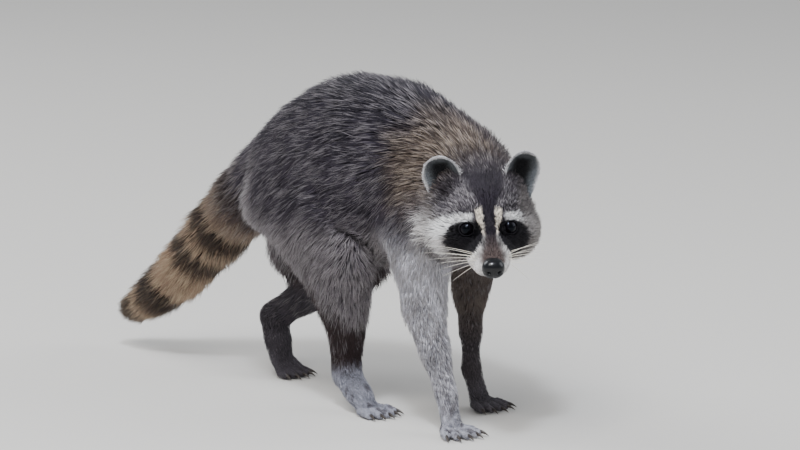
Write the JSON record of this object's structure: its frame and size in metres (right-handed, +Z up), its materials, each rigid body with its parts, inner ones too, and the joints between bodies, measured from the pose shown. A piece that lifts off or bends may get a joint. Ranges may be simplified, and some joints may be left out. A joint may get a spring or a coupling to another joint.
{
  "type": "raccoon",
  "caption": "Life-size raccoon standing in mid-walk, back arched, head low and turned to its right, ringed tail trailing; a still display animal that rests on its paws.",
  "frame": {"origin": "middle of the animal's length and width, on the floor under its paws", "axes": "+Z up; the animal faces -Y and its tail trails toward +Y; +X is its left side"},
  "size_m": [0.1826, 0.6624, 0.3373],
  "materials": {
    "back": "grizzled dark guard hair",
    "flank": "grizzled grey-brown fur",
    "face": "short pale grey fur with a dark mask",
    "tail": "long fur in dark and buff rings",
    "shank": "dark brown fur",
    "paw": "short pale grey fur",
    "ear": "short fur with a pale rim",
    "nose": "bare moist dark skin",
    "eye": "wet glossy black-brown",
    "claw": "smooth dark horn"
  },
  "bodies": {
    "root": {"head": "face", "nose": "nose", "eye_right": "eye", "ear_right": "ear", "eye_left": "eye", "ear_left": "ear", "neck": "flank", "trunk": "back", "tail_base": "tail", "tail_middle": "tail", "tail_tip": "tail", "upper_arm_right": "flank", "forearm_right": "shank", "forepaw_right": "paw", "thigh_right": "flank", "shank_right": "shank", "hind_foot_right": "paw", "claw_fore_right_1": "claw", "claw_fore_right_2": "claw", "claw_fore_right_3": "claw", "claw_fore_right_4": "claw", "claw_fore_right_5": "claw", "claw_hind_right_1": "claw", "claw_hind_right_2": "claw", "claw_hind_right_3": "claw", "claw_hind_right_4": "claw", "claw_hind_right_5": "claw", "upper_arm_left": "flank", "forearm_left": "shank", "forepaw_left": "paw", "thigh_left": "flank", "shank_left": "shank", "hind_foot_left": "paw", "claw_fore_left_1": "claw", "claw_fore_left_2": "claw", "claw_fore_left_3": "claw", "claw_fore_left_4": "claw", "claw_fore_left_5": "claw", "claw_hind_left_1": "claw", "claw_hind_left_2": "claw", "claw_hind_left_3": "claw", "claw_hind_left_4": "claw", "claw_hind_left_5": "claw"}
  },
  "joints": []
}
